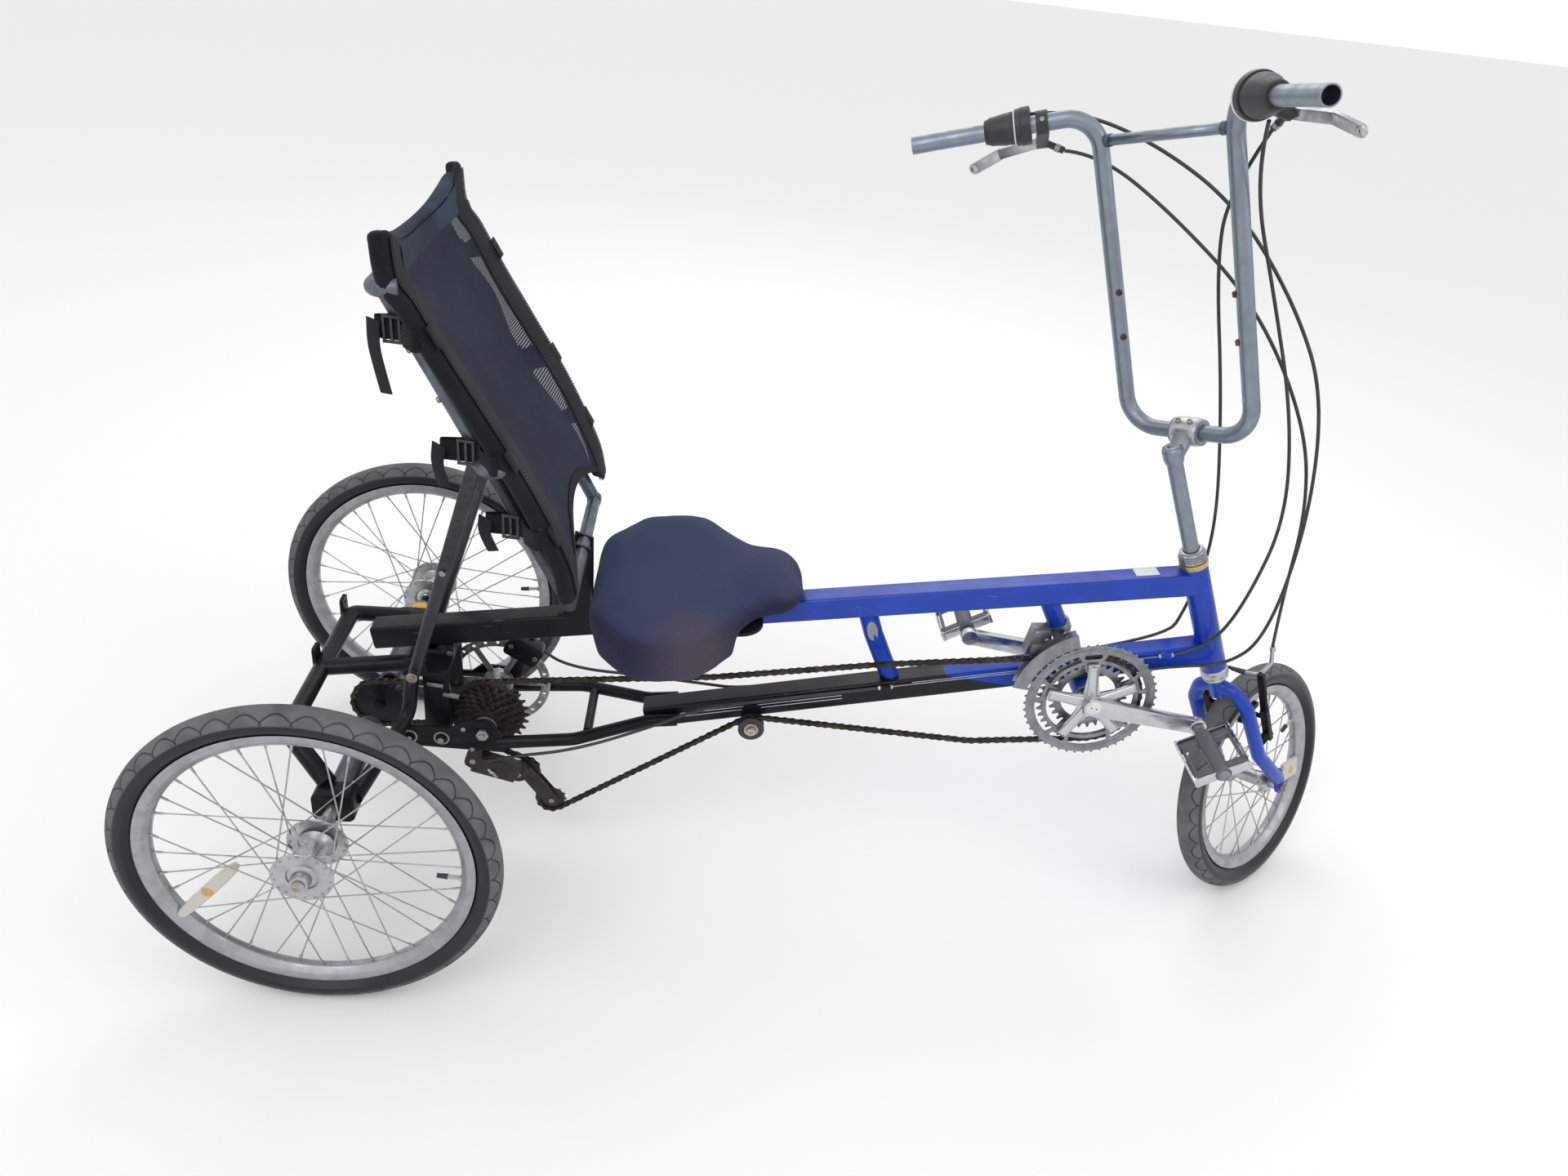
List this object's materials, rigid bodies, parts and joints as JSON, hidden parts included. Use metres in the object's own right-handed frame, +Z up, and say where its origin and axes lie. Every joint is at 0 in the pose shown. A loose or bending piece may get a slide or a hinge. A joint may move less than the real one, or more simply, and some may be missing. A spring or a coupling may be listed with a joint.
{
  "type": "recumbent trike",
  "caption": "Delta recumbent trike: two rear wheels, one steered front wheel, square-tube frame, saddle pad, mesh seat back and tall handlebar.",
  "frame": {"origin": "on the floor, under the middle of the whole trike", "axes": "+X forward, +Y to the left of the trike, +Z up"},
  "size_m": [1.8104, 0.76, 1.2511],
  "materials": {
    "blue_paint": "gloss",
    "black_paint": "gloss",
    "grey_steel": "satin, worn",
    "bright_steel": "satin, rusty spots",
    "rusty_steel": "rusty",
    "alloy": "satin",
    "tyre_rubber": "worn, grey with dust",
    "stretch_cloth": "matt",
    "mesh_cloth": "matt mesh",
    "black_plastic": "satin",
    "reflector": "prism"
  },
  "bodies": {
    "frame": {"axle_sleeves": "black_paint", "bearing_blocks": "black_paint", "bottom_bracket": "blue_paint", "bottom_tube": "black_paint", "brake_caliper": "black_paint", "cable_front_shift": "black_plastic", "cable_rear_brake": "black_plastic", "cable_rear_shift": "black_plastic", "chain_axle": "rusty_steel", "chain_main": "rusty_steel", "dropout_plates": "black_paint", "frame_strut": "blue_paint", "front_derailleur": "black_paint", "head_tube": "blue_paint", "headset_cups": "bright_steel", "idler": "black_paint", "mid_axle": "bright_steel", "rear_bow": "black_paint", "rear_braces": "black_paint", "rear_derailleur": "black_paint", "rear_post": "black_paint", "rear_stays": "black_paint", "seat_back_frame": "grey_steel", "seat_bracket": "black_paint", "seat_pad": "stretch_cloth", "seat_pan": "black_plastic", "seat_stays": "grey_steel", "seat_tube": "blue_paint", "sling": "mesh_cloth", "straps": "mesh_cloth", "top_tube_front": "blue_paint", "top_tube_rear": "black_paint"},
    "steering": {"fork": "blue_paint", "front_axle": "bright_steel", "stem": "grey_steel", "handlebar": "grey_steel", "shifters": "black_plastic", "brake_levers": "bright_steel", "front_brake": "black_paint", "cable_front_brake": "black_plastic"},
    "front_wheel": {"tyre_front": "tyre_rubber", "wheel_front": "alloy", "reflector_front": "reflector"},
    "right_wheel": {"tyre_rear_right": "tyre_rubber", "wheel_rear_right": "alloy", "axle_right": "bright_steel", "reflector_right": "reflector"},
    "left_wheel": {"tyre_rear_left": "tyre_rubber", "wheel_rear_left": "alloy", "axle_left": "bright_steel"},
    "mid_drive": {"cassette": "rusty_steel", "drive_hub": "rusty_steel", "brake_rotor": "rusty_steel"},
    "crank": {"chainrings": "bright_steel", "crank_set": "bright_steel"},
    "pedal_right": {"pedal_right": "black_plastic"},
    "pedal_left": {"pedal_left": "black_plastic"}
  },
  "joints": [
    {"name": "steering", "type": "hinge", "parent": "frame", "child": "steering", "pos_m": [0.6046, 0, 0.4091], "axis": [-0.4313, 0, 0.9022], "range_deg": [-89.4, 10.6], "deforming": ["cable_front_shift", "cable_rear_shift", "cable_rear_brake"]},
    {"name": "front_wheel_spin", "type": "hinge", "parent": "steering", "child": "front_wheel", "pos_m": [0.74448, 0.02475, 0.18637], "axis": [-0.5727, 0.7727, -0.2738], "continuous": true},
    {"name": "right_wheel_spin", "type": "hinge", "parent": "frame", "child": "right_wheel", "pos_m": [-0.6613, -0.3335, 0.243], "axis": [0, 1, 0], "continuous": true},
    {"name": "left_wheel_spin", "type": "hinge", "parent": "frame", "child": "left_wheel", "pos_m": [-0.6613, 0.3335, 0.243], "axis": [0, 1, 0], "continuous": true},
    {"name": "mid_drive_spin", "type": "hinge", "parent": "frame", "child": "mid_drive", "pos_m": [-0.4933, 0, 0.256], "axis": [0, 1, 0], "continuous": true},
    {"name": "crank_spin", "type": "hinge", "parent": "frame", "child": "crank", "pos_m": [0.4037, 0, 0.371], "axis": [0, 1, 0], "continuous": true},
    {"name": "pedal_right_spin", "type": "hinge", "parent": "crank", "child": "pedal_right", "pos_m": [0.57205, -0.12, 0.34734], "axis": [0, 1, 0], "continuous": true},
    {"name": "pedal_left_spin", "type": "hinge", "parent": "crank", "child": "pedal_left", "pos_m": [0.23535, 0.12, 0.39466], "axis": [0, 1, 0], "continuous": true}
  ],
  "couplings": [
    {"joint": "mid_drive_spin", "follows": "left_wheel_spin", "ratio": 1.25}
  ]
}
